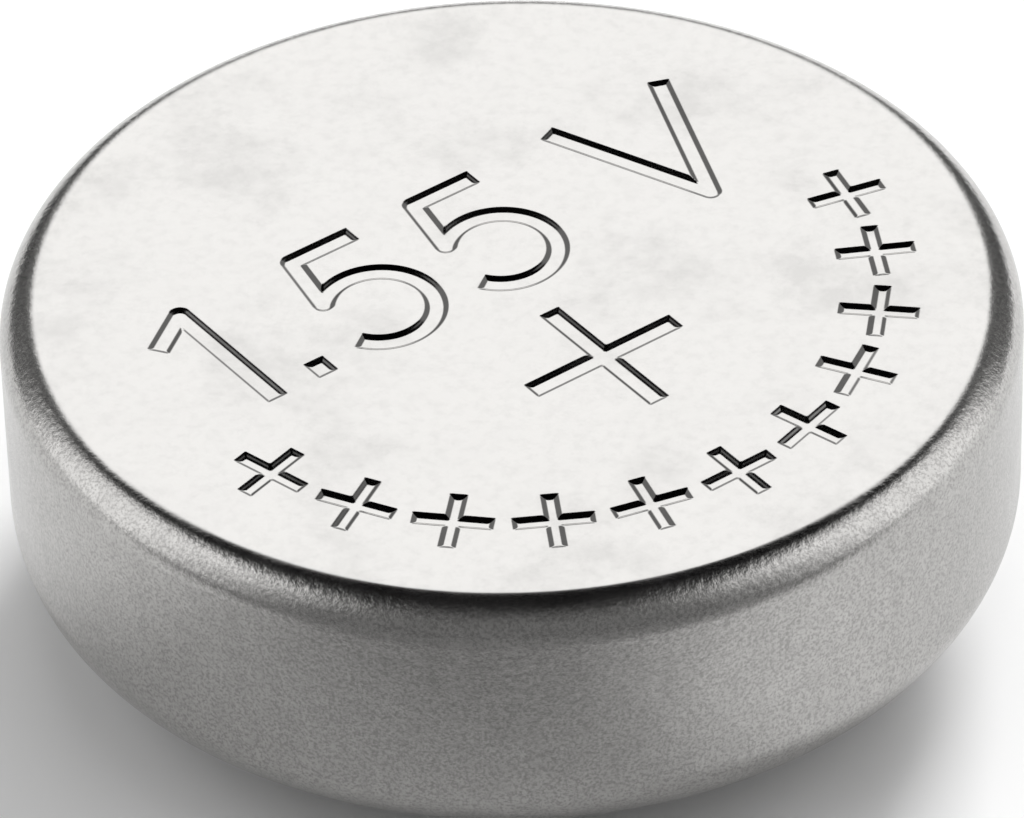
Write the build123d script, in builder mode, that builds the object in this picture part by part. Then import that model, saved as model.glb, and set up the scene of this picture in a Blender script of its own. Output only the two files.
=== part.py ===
"""Silver oxide button cell, 6.8 mm in diameter, standing on its negative cap.

Millimetres. +Z is up and runs through the middle of the cell. The origin is the centre of the
negative cap's flat face, which the cell stands on. The positive can's flat base is uppermost.

The cell is a crimped stack. From the top down: the can's base, the cathode pellet with its support
ring, the barrier membrane, the absorbent disc, and the anode gel in the cap. The gasket lines the
can's wall, stands the cap's folded rim off it, and is squeezed under the can's crimped mouth.
"""

import os
from math import cos, radians, sin

from build123d import *

# Overall
cell_diameter = 6.80
cell_height = 2.45

# Positive can: plated steel cup
can_thickness = 0.20
shoulder_radius = 0.27  # outside, between the base and the wall
crimp_radius = 0.50  # outside, between the wall and the cone of the crimp
crimp_slope = 38.7  # degrees from the horizontal
crimp_width = 0.60  # how far the crimp reaches in from the wall
mouth_height = 0.26  # the can's mouth above the cap's face

# Gasket: moulded nylon ring
gasket_thickness = 0.15
gasket_proud = 0.05  # how far it shows past the can's mouth
gasket_foot = 0.15  # between the cap's rim and the absorbent disc

# Negative cap: drawn cup with a folded rim
cap_thickness = 0.15
cap_bend_radius = 0.20  # middle of the sheet
cap_clearance = 0.06  # between the cap's wall and the gasket's lip
fold_gap = 0.04  # between the two leaves of the folded rim

# Stack
cathode_thickness = 0.62
cathode_edge_radius = 0.12
barrier_thickness = 0.06
absorbent_thickness = 0.17
separator_clearance = 0.05  # between the separators and the can's wall
ring_thickness = 0.15  # support ring, an L in section
ring_width = 0.70
ring_height = 0.42

# Marks stamped into the can's base
mark_depth = 0.02
mark_stroke = 0.16
mark_angle = 36  # degrees, the direction in which the rating reads
rating_height = 1.20
plus_size = 1.20
plus_place = (0.60, -0.76)
rim_mark_size = 0.54
rim_mark_stroke = 0.12
rim_mark_count = 11
rim_mark_start = -130  # degrees
rim_mark_sweep = 152  # degrees
rim_mark_margin = 0.68  # from the rim marks' centres to the edge of the flat base

# Places that follow from the sizes above
can_radius = cell_diameter / 2
can_inner = can_radius - can_thickness
flat_radius = can_radius - shoulder_radius
wall_top = cell_height - shoulder_radius
mouth_radius = can_radius - crimp_width
base_inside = cell_height - can_thickness
cathode_bottom = base_inside - cathode_thickness
barrier_bottom = cathode_bottom - barrier_thickness
absorbent_bottom = barrier_bottom - absorbent_thickness
rim_top = absorbent_bottom - gasket_foot
slope_sin = sin(radians(crimp_slope))
slope_cos = cos(radians(crimp_slope))
cone_reach = mouth_radius * slope_sin - mouth_height * slope_cos
bend_axis = can_radius - crimp_radius
bend_height = (bend_axis * slope_sin + crimp_radius - cone_reach) / slope_cos
cap_inset = can_thickness + gasket_thickness
cap_half = cap_thickness / 2
cap_radius = mouth_radius - cap_inset * slope_sin - gasket_proud * slope_cos - cap_clearance
skirt_outer = can_inner - gasket_thickness
fold_radius = cap_thickness + fold_gap / 2
fold_axis = skirt_outer - fold_radius
skirt_inner = fold_axis - fold_radius
fold_middle = fold_radius - cap_half  # from the fold's axis to the middle of either leaf
separator_radius = can_inner - separator_clearance
ring_outer_wall = can_inner - ring_thickness


def cone_height(radius, inset):
    """Height at a radius of the cone that lies inset from the outside of the crimp."""
    return (radius * slope_sin - cone_reach + inset) / slope_cos


def mouth_point(inset, proud=0.0):
    """Point inset from the outside of the can's cut edge, and carried past that edge by proud."""
    radius = mouth_radius - inset * slope_sin - proud * slope_cos
    height = mouth_height + inset * slope_cos - proud * slope_sin
    return radius, height


def bend_point(inset):
    """Where the bend runs into the cone, on the surface that lies inset from the outside."""
    bend = crimp_radius - inset
    return bend_axis + bend * slope_sin, bend_height - bend * slope_cos


def in_rating(points):
    """Points given in units of the rating's height."""
    return [(x * rating_height, y * rating_height) for x, y in points]


# The rating reads "1.55 V": the centrelines of its strokes, from the left
five_places = (-0.90, -0.06)
rating_lines = [
    [(-1.86, 0.74), (-1.58, 0.93), (-1.58, 0.00)],
    [(-1.24, 0.00), (-1.24, 0.15)],
    [(1.00, 1.00), (1.40, 0.00), (1.80, 1.00)],
]
rating_lines += [[(x + 0.50, 0.93), (x + 0.08, 0.93), (x, 0.52)] for x in five_places]
rating_bowls = [[(x, 0.52), (x + 0.54, 0.28), (x - 0.04, 0.14)] for x in five_places]
rating_corners = [line[1] for line in rating_lines if len(line) > 2]
rating_corners += [bowl[0] for bowl in rating_bowls]


with BuildPart() as positive_can:
    with BuildSketch(Plane.XZ):
        with BuildLine():
            Polyline((0, base_inside), (0, cell_height), (flat_radius, cell_height))
            RadiusArc((flat_radius, cell_height), (can_radius, wall_top), shoulder_radius)
            Line((can_radius, wall_top), (can_radius, bend_height))
            RadiusArc((can_radius, bend_height), bend_point(0), crimp_radius)
            Polyline(bend_point(0), mouth_point(0), mouth_point(can_thickness), bend_point(can_thickness))
            RadiusArc(bend_point(can_thickness), (can_inner, bend_height), can_thickness - crimp_radius)
            Line((can_inner, bend_height), (can_inner, wall_top))
            RadiusArc((can_inner, wall_top), (flat_radius, base_inside), can_thickness - shoulder_radius)
            Line((flat_radius, base_inside), (0, base_inside))
        make_face()
    revolve(axis=Axis.Z)

    across = (cos(radians(mark_angle)), sin(radians(mark_angle)), 0)
    with BuildSketch(Plane((0, 0, cell_height), x_dir=across)):
        for points in rating_lines:
            with BuildLine():
                Polyline(*in_rating(points))
            trace(line_width=mark_stroke)
        for points in rating_bowls:
            with BuildLine():
                ThreePointArc(*in_rating(points))
            trace(line_width=mark_stroke)
        with Locations(*in_rating(rating_corners)):
            Circle(mark_stroke / 2)
    extrude(amount=-mark_depth, mode=Mode.SUBTRACT)

    with BuildSketch(Plane((*plus_place, cell_height), x_dir=across)):
        Rectangle(plus_size, mark_stroke)
        Rectangle(mark_stroke, plus_size)
    extrude(amount=-mark_depth, mode=Mode.SUBTRACT)

    with BuildSketch(Plane.XY.offset(cell_height)):
        with PolarLocations(
            flat_radius - rim_mark_margin, rim_mark_count, rim_mark_start, rim_mark_sweep, endpoint=True
        ):
            Rectangle(rim_mark_size, rim_mark_stroke)
            Rectangle(rim_mark_stroke, rim_mark_size)
    extrude(amount=-mark_depth, mode=Mode.SUBTRACT)

with BuildPart() as sealing_gasket:
    with BuildSketch(Plane.XZ):
        with BuildLine():
            Polyline(
                (skirt_inner, rim_top),
                (skirt_inner, absorbent_bottom),
                (can_inner, absorbent_bottom),
                (can_inner, bend_height),
            )
            RadiusArc((can_inner, bend_height), bend_point(can_thickness), crimp_radius - can_thickness)
            Polyline(
                bend_point(can_thickness),
                mouth_point(can_thickness, gasket_proud),
                mouth_point(cap_inset, gasket_proud),
                (fold_axis, cone_height(fold_axis, cap_inset)),
                (fold_axis, bend_height),
                (skirt_outer, bend_height),
                (skirt_outer, rim_top),
                (skirt_inner, rim_top),
            )
        make_face()
    revolve(axis=Axis.Z)

with BuildPart() as negative_cap:
    wall_middle = cap_radius - cap_half
    leaf_middle = fold_axis - fold_middle
    slope_inset = cap_inset + cap_half
    fold_height = rim_top - fold_radius
    with BuildSketch(Plane.XZ):
        with BuildLine():
            FilletPolyline(
                (0, cap_half),
                (wall_middle, cap_half),
                (wall_middle, cone_height(wall_middle, slope_inset)),
                (leaf_middle, cone_height(leaf_middle, slope_inset)),
                (leaf_middle, fold_height),
                radius=cap_bend_radius,
            )
            RadiusArc((leaf_middle, fold_height), (fold_axis, fold_height + fold_middle), fold_middle)
            RadiusArc(
                (fold_axis, fold_height + fold_middle), (fold_axis + fold_middle, fold_height), fold_middle
            )
            Line((fold_axis + fold_middle, fold_height), (fold_axis + fold_middle, bend_height))
        trace(line_width=cap_thickness)
    revolve(axis=Axis.Z)

with BuildPart() as anode_gel:
    gel_inset = cap_inset + cap_thickness
    gel_foot = cap_radius - cap_thickness
    tight_bend = cap_bend_radius - cap_half
    wide_bend = cap_bend_radius + cap_half
    with BuildSketch(Plane.XZ):
        with BuildLine():
            FilletPolyline(
                (0, cap_thickness),
                (gel_foot, cap_thickness),
                (gel_foot, cone_height(gel_foot, gel_inset)),
                (skirt_inner, cone_height(skirt_inner, gel_inset)),
                (skirt_inner, absorbent_bottom),
                radius=[tight_bend, wide_bend, tight_bend],
            )
            Polyline((skirt_inner, absorbent_bottom), (0, absorbent_bottom), (0, cap_thickness))
        make_face()
    revolve(axis=Axis.Z)

with BuildPart() as support_ring:
    with BuildSketch(Plane.XZ):
        with BuildLine():
            Polyline(
                (can_inner - ring_width, cathode_bottom),
                (can_inner, cathode_bottom),
                (can_inner, cathode_bottom + ring_height),
                (ring_outer_wall, cathode_bottom + ring_height),
                (ring_outer_wall, cathode_bottom + ring_thickness),
                (can_inner - ring_width, cathode_bottom + ring_thickness),
                close=True,
            )
        make_face()
    revolve(axis=Axis.Z)

with BuildPart() as cathode_pellet:
    with BuildSketch(Plane.XY.offset(cathode_bottom)):
        Circle(can_inner)
    extrude(amount=cathode_thickness)
    top_edge = edges().group_by(Axis.Z)[-1]
    fillet(top_edge, cathode_edge_radius)
    add(support_ring.part, mode=Mode.SUBTRACT)

with BuildPart() as barrier_membrane:
    with BuildSketch(Plane.XY.offset(barrier_bottom)):
        Circle(separator_radius)
    extrude(amount=barrier_thickness)

with BuildPart() as absorbent_disc:
    with BuildSketch(Plane.XY.offset(absorbent_bottom)):
        Circle(separator_radius)
    extrude(amount=absorbent_thickness)

positive_can.part.label = "positive_can"
sealing_gasket.part.label = "sealing_gasket"
negative_cap.part.label = "negative_cap"
anode_gel.part.label = "anode_gel"
support_ring.part.label = "support_ring"
cathode_pellet.part.label = "cathode_pellet"
barrier_membrane.part.label = "barrier_membrane"
absorbent_disc.part.label = "absorbent_disc"

os.makedirs("parts", exist_ok=True)
export_step(positive_can.part, "parts/positive_can.step")
export_step(sealing_gasket.part, "parts/sealing_gasket.step")
export_step(negative_cap.part, "parts/negative_cap.step")
export_step(anode_gel.part, "parts/anode_gel.step")
export_step(support_ring.part, "parts/support_ring.step")
export_step(cathode_pellet.part, "parts/cathode_pellet.step")
export_step(barrier_membrane.part, "parts/barrier_membrane.step")
export_step(absorbent_disc.part, "parts/absorbent_disc.step")
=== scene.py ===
"""Looks of the silver oxide button cell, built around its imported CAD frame.

Lengths are in millimetres until a mesh is made, and in metres from there on.
"""

from math import atan2, ceil, cos, hypot, pi, radians, sin, tan

import bmesh
import bpy
import numpy as np
from mathutils import Matrix, Vector
from mathutils.geometry import delaunay_2d_cdt


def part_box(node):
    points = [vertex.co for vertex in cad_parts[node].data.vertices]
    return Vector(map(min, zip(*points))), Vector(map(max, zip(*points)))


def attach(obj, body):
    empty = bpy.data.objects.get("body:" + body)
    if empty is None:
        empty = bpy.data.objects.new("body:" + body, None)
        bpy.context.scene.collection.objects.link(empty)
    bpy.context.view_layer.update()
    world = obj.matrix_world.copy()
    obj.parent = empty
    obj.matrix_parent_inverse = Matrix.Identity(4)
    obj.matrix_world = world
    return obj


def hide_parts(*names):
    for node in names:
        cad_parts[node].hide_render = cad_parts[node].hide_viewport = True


MM = 0.001

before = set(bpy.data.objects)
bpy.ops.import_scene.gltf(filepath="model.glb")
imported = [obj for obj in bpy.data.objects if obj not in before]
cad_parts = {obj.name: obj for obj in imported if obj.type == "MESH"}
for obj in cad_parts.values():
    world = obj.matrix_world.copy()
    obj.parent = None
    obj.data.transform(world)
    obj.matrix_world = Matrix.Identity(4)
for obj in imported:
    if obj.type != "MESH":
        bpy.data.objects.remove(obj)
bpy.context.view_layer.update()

# Overall sizes, from the frame
can_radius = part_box("positive_can")[1].x / MM
cell_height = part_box("positive_can")[1].z / MM
rim_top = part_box("negative_cap")[1].z / MM
absorbent_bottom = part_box("sealing_gasket")[1].z / MM

# Sections, as they were drawn
can_thickness = 0.20
shoulder_radius = 0.27
crimp_radius = 0.50
crimp_slope = radians(38.7)
mouth_radius = can_radius - 0.60
mouth_height = 0.26
gasket_thickness = 0.15
gasket_proud = 0.05
cap_thickness = 0.15
cap_bend_radius = 0.20
cap_clearance = 0.06
fold_gap = 0.04
cut_edge_radius = 0.03
base_inside = cell_height - can_thickness
can_inner = can_radius - can_thickness
flat_radius = can_radius - shoulder_radius
slope_sin = sin(crimp_slope)
slope_cos = cos(crimp_slope)
cone_reach = mouth_radius * slope_sin - mouth_height * slope_cos
bend_height = ((can_radius - crimp_radius) * slope_sin + crimp_radius - cone_reach) / slope_cos
cap_inset = can_thickness + gasket_thickness
cap_radius = mouth_radius - cap_inset * slope_sin - gasket_proud * slope_cos - cap_clearance
skirt_outer = can_inner - gasket_thickness
fold_radius = cap_thickness + fold_gap / 2
outer_fold_bend = fold_radius * 0.99  # just short of a half-circle, as is the inner one
inner_fold_bend = fold_gap / 2 * 0.98
fold_axis = skirt_outer - fold_radius
skirt_inner = fold_axis - fold_radius
leaf_face = fold_axis - fold_gap / 2

# Stamped marks
mark_depth = 0.0135
mark_stroke = 0.16
mark_angle = radians(36)
rating_height = 1.20
plus_size = 1.20
plus_place = (0.60, -0.76)
rim_mark_size = 0.54
rim_mark_stroke = 0.12
rim_mark_count = 11
rim_mark_start = radians(-130)
rim_mark_sweep = radians(152)
rim_mark_radius = flat_radius - 0.68

# Studio
back_radiance = 1.42
side_radiance = 1.60
front_radiance = 0.27
key_radiance = 31
key_size = 40
fill_radiance = 1.6
fill_size = 60
fill_height = 120
floor_reach = 900
floor_shade = 0.90
front_painted_shadow = 0.28  # painted shadow: the colour of the floor in front of the cell, outside the view

# Mesh fineness
lathe_segments = 512
arc_step = radians(5)
mark_row_step = 0.011  # along the marks' edges
mark_wall_top = 0.008  # where the marks' walls start, measured out from their edges
mark_wall_run = 0.052
mark_wall_rows = 6
face_grid = 0.11
merge_distance = 1e-4
row_tolerance = 1e-4  # how far a row's point may be from its level


# ---------------------------------------------------------------- meshes

def cone_height(radius, inset):
    """Height at a radius of the cone that lies inset from the outside of the crimp."""
    return (radius * slope_sin - cone_reach + inset) / slope_cos


def mouth_point(inset, proud=0.0):
    """Point inset from the outside of the can's cut edge, and carried past that edge by proud."""
    radius = mouth_radius - inset * slope_sin - proud * slope_cos
    height = mouth_height + inset * slope_cos - proud * slope_sin
    return radius, height


def rounded(corners):
    """Outline through (radius, height, corner radius) corners, with an arc at each rounded one."""
    outline = []
    for number, (r, z, bend) in enumerate(corners):
        if bend == 0:
            outline.append((r, z))
            continue
        corner = Vector((r, z))
        back = (Vector(corners[number - 1][:2]) - corner).normalized()
        onward = (Vector(corners[(number + 1) % len(corners)][:2]) - corner).normalized()
        half = back.angle(onward) / 2
        centre = corner + (back + onward).normalized() * bend / sin(half)
        turn = pi - 2 * half
        steps = max(2, ceil(turn / arc_step))
        first = corner + back * bend / tan(half) - centre
        side = 1 if first.x * onward.y - first.y * onward.x > 0 else -1
        for step in range(steps + 1):
            angle = side * turn * step / steps
            spoke = Vector((
                first.x * cos(angle) - first.y * sin(angle),
                first.x * sin(angle) + first.y * cos(angle),
            ))
            outline.append(tuple(centre + spoke))
    return outline


def lathe(outline, closed=False):
    """Vertices and faces of an outline turned about Z. A point on the axis becomes a pole."""
    vertices = []
    rings = []
    for r, z in outline:
        if r < 1e-9:
            rings.append([len(vertices)] * lathe_segments)
            vertices.append((0.0, 0.0, z))
            continue
        rings.append(list(range(len(vertices), len(vertices) + lathe_segments)))
        for segment in range(lathe_segments):
            angle = 2 * pi * segment / lathe_segments
            vertices.append((r * cos(angle), r * sin(angle), z))
    if closed:
        rings.append(rings[0])
    faces = []
    for low, high in zip(rings, rings[1:]):
        for here in range(lathe_segments):
            ahead = (here + 1) % lathe_segments
            corners = [low[here], low[ahead], high[ahead], high[here]]
            faces.append(list(dict.fromkeys(corners)))
    return vertices, faces


def add_piece(name, vertices, faces):
    """A smooth-shaded mesh object from points in millimetres."""
    mesh = bpy.data.meshes.new(name)
    mesh.from_pydata([tuple(c * MM for c in v) for v in vertices], [], faces)
    mesh.validate()
    seamless = bmesh.new()
    seamless.from_mesh(mesh)
    bmesh.ops.remove_doubles(seamless, verts=seamless.verts, dist=merge_distance * MM)
    bmesh.ops.recalc_face_normals(seamless, faces=seamless.faces)
    seamless.to_mesh(mesh)
    seamless.free()
    mesh.shade_smooth()
    piece = bpy.data.objects.new(name, mesh)
    bpy.context.scene.collection.objects.link(piece)
    return piece


# ---------------------------------------------------------------- stamped marks

class Stroke:
    """A straight stamped stroke. An end that isn't joined to another stroke is square."""

    def __init__(self, start, end, width, start_joined=False, end_joined=False):
        start, end = np.array(start, float), np.array(end, float)
        self.half_width = width / 2
        self.middle = (start + end) / 2
        self.half_length = np.linalg.norm(end - start) / 2
        self.along = (end - start) / np.linalg.norm(end - start)
        self.across = np.array((-self.along[1], self.along[0]))
        self.joined_low, self.joined_high = start_joined, end_joined

    def local(self, points):
        offset = points - self.middle
        return offset @ self.along, offset @ self.across

    def placed(self, along, across):
        return self.middle + np.outer(along, self.along) + np.outer(across, self.across)


class Bow:
    """A stamped stroke along an arc, joined to another where it starts and square at its end."""

    def __init__(self, centre, radius, start, sweep, width):
        self.centre = np.array(centre, float)
        self.half_width = width / 2
        self.radius = radius
        self.middle_angle = start + sweep / 2
        self.half_length = abs(sweep) / 2 * radius
        self.joined_low, self.joined_high = sweep > 0, sweep < 0

    def local(self, points):
        offset = points - self.centre
        angle = np.arctan2(offset[:, 1], offset[:, 0]) - self.middle_angle
        angle = (angle + pi) % (2 * pi) - pi
        return angle * self.radius, np.hypot(offset[:, 0], offset[:, 1]) - self.radius

    def placed(self, along, across):
        angle = self.middle_angle + along / self.radius
        reach = self.radius + across
        return self.centre + np.column_stack((reach * np.cos(angle), reach * np.sin(angle)))


class Dot:
    """The round corner where two strokes meet."""

    def __init__(self, centre, width):
        self.centre = np.array(centre, float)
        self.half_width = width / 2


def distance_to(mark, points):
    """Signed distance from points to a mark's edge, negative inside."""
    if isinstance(mark, Dot):
        return np.hypot(*(points - mark.centre).T) - mark.half_width
    along, across = mark.local(points)
    beyond_end = np.abs(along) - mark.half_length
    joined = np.where(along > 0, mark.joined_high, mark.joined_low)
    beyond_end = np.where(joined & (beyond_end <= 0), -mark.half_length, beyond_end)
    beyond_side = np.abs(across) - mark.half_width
    outside = np.hypot(np.maximum(beyond_end, 0), np.maximum(beyond_side, 0))
    return outside + np.minimum(np.maximum(beyond_end, beyond_side), 0)


def row_around(mark, level):
    """Points that lie level away from a mark's edge, all the way round it."""
    if isinstance(mark, Dot):
        reach = mark.half_width + level
        count = max(8, ceil(2 * pi * reach / mark_row_step))
        turns = np.arange(count) * 2 * pi / count
        return mark.centre + reach * np.column_stack((np.cos(turns), np.sin(turns)))
    half_length = mark.half_length + min(level, 0)
    half_width = mark.half_width + min(level, 0)
    bend = max(level, 0)
    sides = []
    low = -mark.half_length if mark.joined_low else -half_length
    high = mark.half_length if mark.joined_high else half_length
    lengths = np.linspace(low, high, max(2, ceil((high - low) / mark_row_step)))
    widths = np.linspace(-half_width, half_width, max(2, ceil(2 * half_width / mark_row_step)))
    for sign in (-1, 1):
        sides.append(np.column_stack((lengths, np.full(len(lengths), sign * (half_width + bend)))))
        sides.append(np.column_stack((np.full(len(widths), sign * (half_length + bend)), widths)))
    points = np.vstack(sides)
    return mark.placed(points[:, 0], points[:, 1])


def turned(points, angle, place=(0, 0)):
    """Points turned by an angle about the origin, then moved to place."""
    points = np.atleast_2d(np.array(points, float))
    turn = np.array(((cos(angle), sin(angle)), (-sin(angle), cos(angle))))
    return points @ turn + np.array(place)


def through_three(first, middle, last, width):
    """The arc through three points, as a Bow."""
    (ax, ay), (bx, by), (cx, cy) = first, middle, last
    twice_area = 2 * (ax * (by - cy) + bx * (cy - ay) + cx * (ay - by))
    a, b, c = ax * ax + ay * ay, bx * bx + by * by, cx * cx + cy * cy
    x = (a * (by - cy) + b * (cy - ay) + c * (ay - by)) / twice_area
    y = (a * (cx - bx) + b * (ax - cx) + c * (bx - ax)) / twice_area
    start = atan2(ay - y, ax - x)
    end = atan2(cy - y, cx - x)
    sweep = (end - start) % (2 * pi)
    if twice_area < 0:
        sweep -= 2 * pi
    return Bow((x, y), hypot(ax - x, ay - y), start, sweep, width)


def plus(place, size, width, angle):
    """A plus mark: two crossed strokes."""
    arm = size / 2
    ends = turned([(-arm, 0), (arm, 0), (0, -arm), (0, arm)], angle, place)
    return [Stroke(ends[0], ends[1], width), Stroke(ends[2], ends[3], width)]


def rating_marks():
    """The rating "1.55 V", drawn in units of its height."""
    lines = [
        ([(-1.86, 0.74), (-1.58, 0.93), (-1.58, 0.00)], False),
        ([(-1.24, 0.00), (-1.24, 0.15)], False),
        ([(1.00, 1.00), (1.40, 0.00), (1.80, 1.00)], False),
    ]
    bowls = []
    for x in (-0.90, -0.06):
        lines.append(([(x + 0.50, 0.93), (x + 0.08, 0.93), (x, 0.52)], True))
        bowls.append([(x, 0.52), (x + 0.54, 0.28), (x - 0.04, 0.14)])
    marks = []
    for line, runs_on in lines:
        points = turned(np.array(line) * rating_height, mark_angle)
        last = len(points) - 2
        for number, (a, b) in enumerate(zip(points, points[1:])):
            marks.append(Stroke(a, b, mark_stroke, number > 0, number < last or runs_on))
        marks += [Dot(corner, mark_stroke) for corner in points[1:-1]]
    for bowl in bowls:
        points = turned(np.array(bowl) * rating_height, mark_angle)
        marks += [through_three(*points, mark_stroke), Dot(points[0], mark_stroke)]
    return marks


def all_marks():
    """The rating, the large plus, and the arc of small plus marks near the rim."""
    marks = rating_marks() + plus(plus_place, plus_size, mark_stroke, mark_angle)
    for number in range(rim_mark_count):
        angle = rim_mark_start + rim_mark_sweep * number / (rim_mark_count - 1)
        place = (rim_mark_radius * cos(angle), rim_mark_radius * sin(angle))
        marks += plus(place, rim_mark_size, rim_mark_stroke, angle)
    return marks


def edge_distance(marks, points):
    """Signed distance from points to the nearest edge of any mark."""
    nearest = np.full(len(points), 1e9)
    for mark in marks:
        nearest = np.minimum(nearest, distance_to(mark, points))
    return nearest


def stamped_face(radius):
    """The can's flat face out to a radius, with the marks pressed into it."""
    marks = all_marks()
    turns = np.arange(lathe_segments) * 2 * pi / lathe_segments
    rim = radius * np.column_stack((np.cos(turns), np.sin(turns)))
    rows = []
    for number in range(-1, mark_wall_rows + 2):
        level = mark_wall_top - mark_wall_run * number / mark_wall_rows
        for mark in marks:
            row = row_around(mark, level)
            rows.append(row[np.abs(edge_distance(marks, row) - level) < row_tolerance])
    steps = np.arange(-radius, radius, face_grid)
    x, y = np.meshgrid(steps, steps)
    x = x + (np.arange(len(steps)) % 2)[:, None] * face_grid / 2
    fill = np.column_stack((x.ravel(), y.ravel()))
    fill = fill[np.hypot(fill[:, 0], fill[:, 1]) < radius - face_grid]
    clear = edge_distance(marks, fill)
    fill = fill[clear > face_grid / 4]
    margin = rim * (1 - face_grid / 2 / radius)
    points = np.vstack([rim, margin] + rows + [fill])
    ring = [(n, (n + 1) % lathe_segments) for n in range(lathe_segments)]
    flat, _, faces, *_ = delaunay_2d_cdt([Vector(p) for p in points], ring, [], 1, 1e-5)
    flat = np.array([tuple(p) for p in flat])
    depth = edge_distance(marks, flat)
    share = np.clip((mark_wall_top - depth) / mark_wall_run, 0, 1)
    height = cell_height - mark_depth * share * share * (3 - 2 * share)
    return np.column_stack((flat, height)), [list(f) for f in faces]


# ---------------------------------------------------------------- pieces

def make_can():
    face, face_faces = stamped_face(flat_radius)
    shell, shell_faces = lathe(rounded([
        (flat_radius, cell_height, 0),
        (can_radius, cell_height, shoulder_radius),
        (can_radius, cone_height(can_radius, 0), crimp_radius),
        (*mouth_point(0), cut_edge_radius),
        (*mouth_point(can_thickness), cut_edge_radius),
        (can_inner, cone_height(can_inner, can_thickness), crimp_radius - can_thickness),
        (can_inner, base_inside, shoulder_radius - can_thickness),
        (0, base_inside, 0),
    ]))
    shell_faces = [[corner + len(face) for corner in f] for f in shell_faces]
    return add_piece("can_shell", list(face) + shell, face_faces + shell_faces)


def make_gasket():
    outline = rounded([
        (skirt_inner, rim_top, 0),
        (skirt_inner, absorbent_bottom, 0),
        (can_inner, absorbent_bottom, 0),
        (can_inner, cone_height(can_inner, can_thickness), crimp_radius - can_thickness),
        (*mouth_point(can_thickness, gasket_proud), cut_edge_radius),
        (*mouth_point(cap_inset, gasket_proud), cut_edge_radius),
        (fold_axis, cone_height(fold_axis, cap_inset), 0),
        (fold_axis, bend_height, 0),
        (skirt_outer, bend_height, 0),
        (skirt_outer, rim_top, 0),
    ])
    return add_piece("gasket_ring", *lathe(outline, closed=True))


def make_cap():
    tight_bend = cap_bend_radius - cap_thickness / 2
    wide_bend = cap_bend_radius + cap_thickness / 2
    inner_inset = cap_inset + cap_thickness
    inner_radius = cap_radius - cap_thickness
    outline = rounded([
        (0, 0, 0),
        (cap_radius, 0, wide_bend),
        (cap_radius, cone_height(cap_radius, cap_inset), tight_bend),
        (leaf_face, cone_height(leaf_face, cap_inset), wide_bend),
        (leaf_face, rim_top - cap_thickness, inner_fold_bend),
        (leaf_face + fold_gap, rim_top - cap_thickness, inner_fold_bend),
        (leaf_face + fold_gap, bend_height, 0),
        (skirt_outer, bend_height, 0),
        (skirt_outer, rim_top, outer_fold_bend),
        (skirt_inner, rim_top, outer_fold_bend),
        (skirt_inner, cone_height(skirt_inner, inner_inset), tight_bend),
        (inner_radius, cone_height(inner_radius, inner_inset), wide_bend),
        (inner_radius, cap_thickness, tight_bend),
        (0, cap_thickness, 0),
    ])
    return add_piece("cap_shell", *lathe(outline))


# ---------------------------------------------------------------- materials

class Tree:
    """Short calls to build a node tree."""

    def __init__(self, tree):
        self.tree = tree

    def add(self, kind, **settings):
        node = self.tree.nodes.new(kind)
        for key, value in settings.items():
            setattr(node, key, value)
        return node

    def put(self, value, socket):
        if isinstance(value, bpy.types.NodeSocket):
            self.tree.links.new(value, socket)
        else:
            socket.default_value = value

    def math(self, operation, first, second=0.0):
        node = self.add("ShaderNodeMath", operation=operation)
        self.put(first, node.inputs[0])
        self.put(second, node.inputs[1])
        return node.outputs[0]

    def between(self, value, low, high, start=0.0, end=1.0):
        """Smooth change from start to end as value goes from low to high."""
        node = self.add("ShaderNodeMapRange", interpolation_type="SMOOTHSTEP")
        self.put(value, node.inputs["Value"])
        self.put(low, node.inputs["From Min"])
        self.put(high, node.inputs["From Max"])
        self.put(start, node.inputs["To Min"])
        self.put(end, node.inputs["To Max"])
        return node.outputs["Result"]


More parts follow.
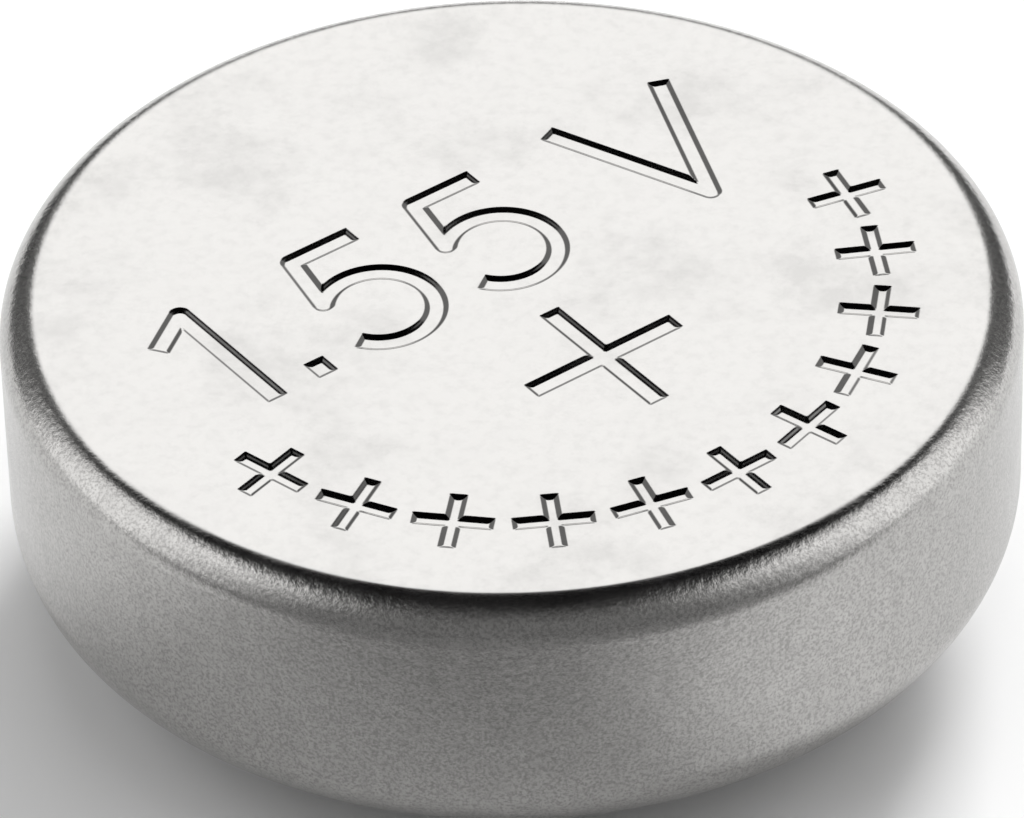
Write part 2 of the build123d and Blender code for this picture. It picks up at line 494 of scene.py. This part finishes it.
class Nodes(Tree):
    """A material's node tree, measured in millimetres."""

    def __init__(self, name):
        self.material = bpy.data.materials.new(name)
        self.material.use_nodes = True
        super().__init__(self.material.node_tree)
        self.shader = self.tree.nodes["Principled BSDF"]
        place = self.add("ShaderNodeTexCoord")
        self.place = self.scaled(place.outputs["Object"], (1 / MM, 1 / MM, 1 / MM))

    def scaled(self, vector, scale):
        node = self.add("ShaderNodeMapping")
        self.put(vector, node.inputs["Vector"])
        node.inputs["Scale"].default_value = scale
        return node.outputs["Vector"]

    def noise(self, size, detail=3.0, roughness=0.55, vector=None, distortion=0.0):
        """Noise whose blotches are about size millimetres across."""
        node = self.add("ShaderNodeTexNoise")
        self.put(self.place if vector is None else vector, node.inputs["Vector"])
        node.inputs["Scale"].default_value = 1 / size
        node.inputs["Detail"].default_value = detail
        node.inputs["Roughness"].default_value = roughness
        node.inputs["Distortion"].default_value = distortion
        return node.outputs["Fac"]

    def mix(self, share, first, second):
        node = self.add("ShaderNodeMix", data_type="RGBA")
        self.put(share, node.inputs["Factor"])
        for value, key in ((first, "A"), (second, "B")):
            socket = next(i for i in node.inputs if i.name == key and i.type == "RGBA")
            self.put((*value, 1.0) if isinstance(value, tuple) else value, socket)
        return next(o for o in node.outputs if o.type == "RGBA")

    def bump(self, height, depth, normal=None):
        """Bumps whose height runs from 0 to depth millimetres."""
        node = self.add("ShaderNodeBump")
        node.inputs["Strength"].default_value = 1.0
        node.inputs["Distance"].default_value = depth * MM
        self.put(height, node.inputs["Height"])
        if normal is not None:
            self.put(normal, node.inputs["Normal"])
        return node.outputs["Normal"]

    def finish(self, colour, roughness, normal, metallic=0.0):
        shade = (*colour, 1.0) if isinstance(colour, tuple) else colour
        self.put(shade, self.shader.inputs["Base Color"])
        self.put(roughness, self.shader.inputs["Roughness"])
        if normal is not None:
            self.put(normal, self.shader.inputs["Normal"])
        self.shader.inputs["Metallic"].default_value = metallic
        return self.material


def nickel(name, tint, smooth_face=None):
    """Satin nickel plating with grain all over but for a smooth face of that height and radius; away
    from that face its colour is also painted darker, painted shade that dims the walls' reflection.
    """
    n = Nodes(name)
    # side is 1 away from the smooth face: there the colour is painted darker (painted shade), the
    # roughness is higher and the plating peels.
    side = 1.0
    if smooth_face is not None:
        face_height, face_radius = smooth_face
        axes = n.add("ShaderNodeSeparateXYZ")
        n.put(n.place, axes.inputs["Vector"])
        x, y, z = (axes.outputs[axis] for axis in "XYZ")
        radius = n.math("SQRT", n.math("ADD", n.math("MULTIPLY", x, x), n.math("MULTIPLY", y, y)))
        outside = n.between(radius, face_radius + 0.02, face_radius + 0.10)
        drop = n.math("ABSOLUTE", n.math("SUBTRACT", z, face_height))
        side = n.math("MAXIMUM", outside, n.between(drop, 0.15, 0.25))
    stains = n.between(n.noise(0.9, 5.0, 0.62), 0.48, 0.75)
    mottle = n.between(n.noise(0.09, 4.0, 0.7), 0.40, 0.75, 0.0, 0.45)
    clean = n.mix(n.math("ADD", stains, mottle), tint, tuple(c * 0.86 for c in tint))
    speckle = n.between(n.noise(0.022, 2.0, 0.7), 0.32, 0.62)
    blotches = n.between(n.noise(0.16, 4.0, 0.6), 0.30, 0.70, 0.75, 1.0)
    draw_marks = n.noise(1.0, 3.0, 0.6, n.scaled(n.place, (14, 14, 1.5)))
    worn = n.math("MULTIPLY", speckle, blotches)
    worn = n.math("MULTIPLY", worn, n.between(draw_marks, 0.3, 0.7, 0.85, 1.0))
    # Painted shade with real grain: away from the face the colour runs from half to four fifths of
    # the tint, darker than the face, speckled by the wear pattern.
    grainy_painted_shade = n.mix(worn, tuple(c * 0.50 for c in tint), tuple(c * 0.80 for c in tint))
    colour = n.mix(side, clean, grainy_painted_shade)
    face_roughness = n.between(n.noise(0.5, 4.0), 0.3, 0.7, 0.09, 0.13)
    roughness = n.math("ADD", face_roughness, n.math("MULTIPLY", side, 0.12))
    waves = n.bump(n.noise(0.45, 2.0), 0.0006)
    peel = n.bump(n.math("MULTIPLY", n.noise(0.055, 3.0, 0.65), side), 0.0042, waves)
    grain = n.bump(n.noise(0.02, 2.0), 0.00012, peel)
    return n.finish(colour, roughness, grain, metallic=1.0)


def powder(name, tint, size, roughness=0.8):
    """Pressed powder or gel: grains of two sizes, painted darker in the hollows as painted shade."""
    n = Nodes(name)
    grains = n.noise(size, 4.0, 0.6)
    # Painted shade: the colour falls to three fifths of the tint where the grains' bumps are low.
    colour = n.mix(n.between(grains, 0.35, 0.7), tuple(c * 0.6 for c in tint), tint)
    bumps = n.bump(grains, size / 4)
    return n.finish(colour, roughness, bumps)


def nylon(name, tint):
    """Moulded nylon: slightly waxy, with a faint mould texture."""
    n = Nodes(name)
    blotches = n.noise(0.3, 3.0)
    colour = n.mix(n.between(blotches, 0.3, 0.7), tuple(c * 0.9 for c in tint), tint)
    texture = n.bump(n.noise(0.04, 3.0), 0.002)
    return n.finish(colour, 0.42, texture)


def felt(name, tint):
    """Felt: tangled fibres drawn out by distortion, painted darker where they lie low as painted
    shade.
    """
    n = Nodes(name)
    fibres = n.noise(0.08, 6.0, 0.7, distortion=2.0)
    # Painted shade: the colour falls to three quarters of the tint where the fibres' bumps are low.
    colour = n.mix(n.between(fibres, 0.3, 0.7), tuple(c * 0.75 for c in tint), tint)
    return n.finish(colour, 0.95, n.bump(fibres, 0.02))


def dress(piece, material):
    piece.data.materials.clear()
    piece.data.materials.append(material)


# ---------------------------------------------------------------- build

can = make_can()
dress(can, nickel("can_nickel", (0.63, 0.62, 0.605), (cell_height, flat_radius)))
gasket = make_gasket()
dress(gasket, nylon("gasket_nylon", (0.55, 0.55, 0.52)))
cap = make_cap()
dress(cap, nickel("cap_nickel", (0.65, 0.64, 0.625), (0, cap_radius)))

for piece, node, slot in (
    (can, "positive_can", "can_plating"),
    (gasket, "sealing_gasket", "gasket_nylon"),
    (cap, "negative_cap", "cap_plating"),
):
    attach(piece, "root")
    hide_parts(node)

inner_finishes = {
    "anode_gel": powder("zinc_gel", (0.30, 0.31, 0.32), 0.05, 0.5),
    "cathode_pellet": powder("silver_oxide", (0.10, 0.09, 0.085), 0.04),
    "absorbent_disc": felt("absorbent_felt", (0.86, 0.85, 0.80)),
    "barrier_membrane": nylon("membrane_film", (0.80, 0.82, 0.80)),
    "support_ring": nickel("ring_steel", (0.56, 0.56, 0.56)),
}
for node, material in inner_finishes.items():
    dress(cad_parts[node], material)


# ---------------------------------------------------------------- studio

def make_sky():
    """Soft boxes behind and on both sides, black overhead, and a dim glow from the front.

    The box behind is dimmer near the horizon, and dark gaps part it from the boxes at the sides.
    """
    world = bpy.data.worlds.new("studio")
    world.use_nodes = True
    bpy.context.scene.world = world
    n = Tree(world.node_tree)
    background = world.node_tree.nodes["Background"]
    background.inputs["Color"].default_value = (1, 1, 1, 1)
    direction = n.add("ShaderNodeSeparateXYZ")
    n.put(n.add("ShaderNodeTexCoord").outputs["Generated"], direction.inputs["Vector"])
    x, y, z = (direction.outputs[axis] for axis in "XYZ")
    aside = n.math("ABSOLUTE", x)
    low = n.between(z, 0.15, 0.35, 0.25, 1.0)
    high = n.between(z, 0.70, 0.745, 1.0, 0.0)
    back = n.math("MULTIPLY", n.between(y, 0.05, 0.45), n.math("MULTIPLY", low, high))
    back = n.math("MULTIPLY", back, n.between(aside, 0.15, 0.30, 1.0, 0.14))
    sides = n.math("MULTIPLY", n.between(aside, 0.34, 0.60), n.between(y, -0.80, 0.0))
    sides = n.math("MULTIPLY", sides, n.between(y, 0.35, 0.62, 1.0, 0.10))
    front = n.between(y, -0.90, 0.05, 1.0, 0.0)
    back = n.math("MULTIPLY", back, back_radiance)
    sides = n.math("MULTIPLY", sides, side_radiance)
    bright = n.math("MAXIMUM", back, sides)
    glow = n.math("MULTIPLY", front, front_radiance)
    n.put(n.math("ADD", bright, glow), background.inputs["Strength"])


def make_key():
    """A square lamp behind the cell, to the right, which throws its shadow forwards and left."""
    light = bpy.data.lights.new("key", "AREA")
    light.size = key_size * MM
    light.energy = key_radiance * pi * light.size ** 2
    key = bpy.data.objects.new("key", light)
    azimuth, elevation, distance = radians(22), radians(28), 110
    way = Vector((sin(azimuth) * cos(elevation), cos(azimuth) * cos(elevation), sin(elevation)))
    key.location = way * distance * MM
    key.rotation_euler = way.to_track_quat("Z", "Y").to_euler()
    key.visible_glossy = False
    bpy.context.scene.collection.objects.link(key)


def make_fill():
    """A soft lamp overhead, which lightens the shadow and has no reflection in the metal."""
    light = bpy.data.lights.new("fill", "AREA")
    light.size = fill_size * MM
    light.energy = fill_radiance * pi * light.size ** 2
    fill = bpy.data.objects.new("fill", light)
    fill.location = (0, 0, fill_height * MM)
    fill.visible_glossy = False
    bpy.context.scene.collection.objects.link(fill)


def make_floor():
    """A pale floor with a painted shadow in front of the cell: it is darker there, so that the front
    of the wall reflects less.
    """
    mesh = bpy.data.meshes.new("floor")
    reach = floor_reach * MM
    corners = [(-reach, -reach, 0), (reach, -reach, 0), (reach, reach, 0), (-reach, reach, 0)]
    mesh.from_pydata(corners, [], [(0, 1, 2, 3)])
    floor = bpy.data.objects.new("floor", mesh)
    bpy.context.scene.collection.objects.link(floor)
    n = Nodes("pale_floor_painted_shadow")
    axes = n.add("ShaderNodeSeparateXYZ")
    n.put(n.place, axes.inputs["Vector"])
    # Painted shadow: the floor darkens from 3.3 mm to 8 mm in front of the cell's centre.
    back = n.between(axes.outputs["Y"], -8.0, -3.3)
    colour = n.mix(back, (front_painted_shadow,) * 3, (floor_shade,) * 3)
    dress(floor, n.finish(colour, 0.9, None))


def make_camera():
    """The view of the photograph: from the front, looking down at 39 degrees."""
    elevation = radians(38.96)
    distance = 56.6
    roll = radians(-1.48)
    target = Vector((0, 0, 1.3))
    data = bpy.data.cameras.new("camera")
    data.sensor_width = 36
    data.lens = 296.6
    data.shift_x = -0.002
    data.shift_y = 0.0127
    data.clip_start = 1 * MM
    data.clip_end = 10
    camera = bpy.data.objects.new("camera", data)
    back = Vector((0, -cos(elevation), sin(elevation)))
    camera.location = (target + back * distance) * MM
    turn = back.to_track_quat("Z", "Y").to_matrix() @ Matrix.Rotation(roll, 3, "Z")
    camera.rotation_euler = turn.to_euler()
    bpy.context.scene.collection.objects.link(camera)
    bpy.context.scene.camera = camera


make_floor()
make_camera()
make_sky()
make_key()
make_fill()
bpy.context.scene.view_settings.view_transform = "Standard"
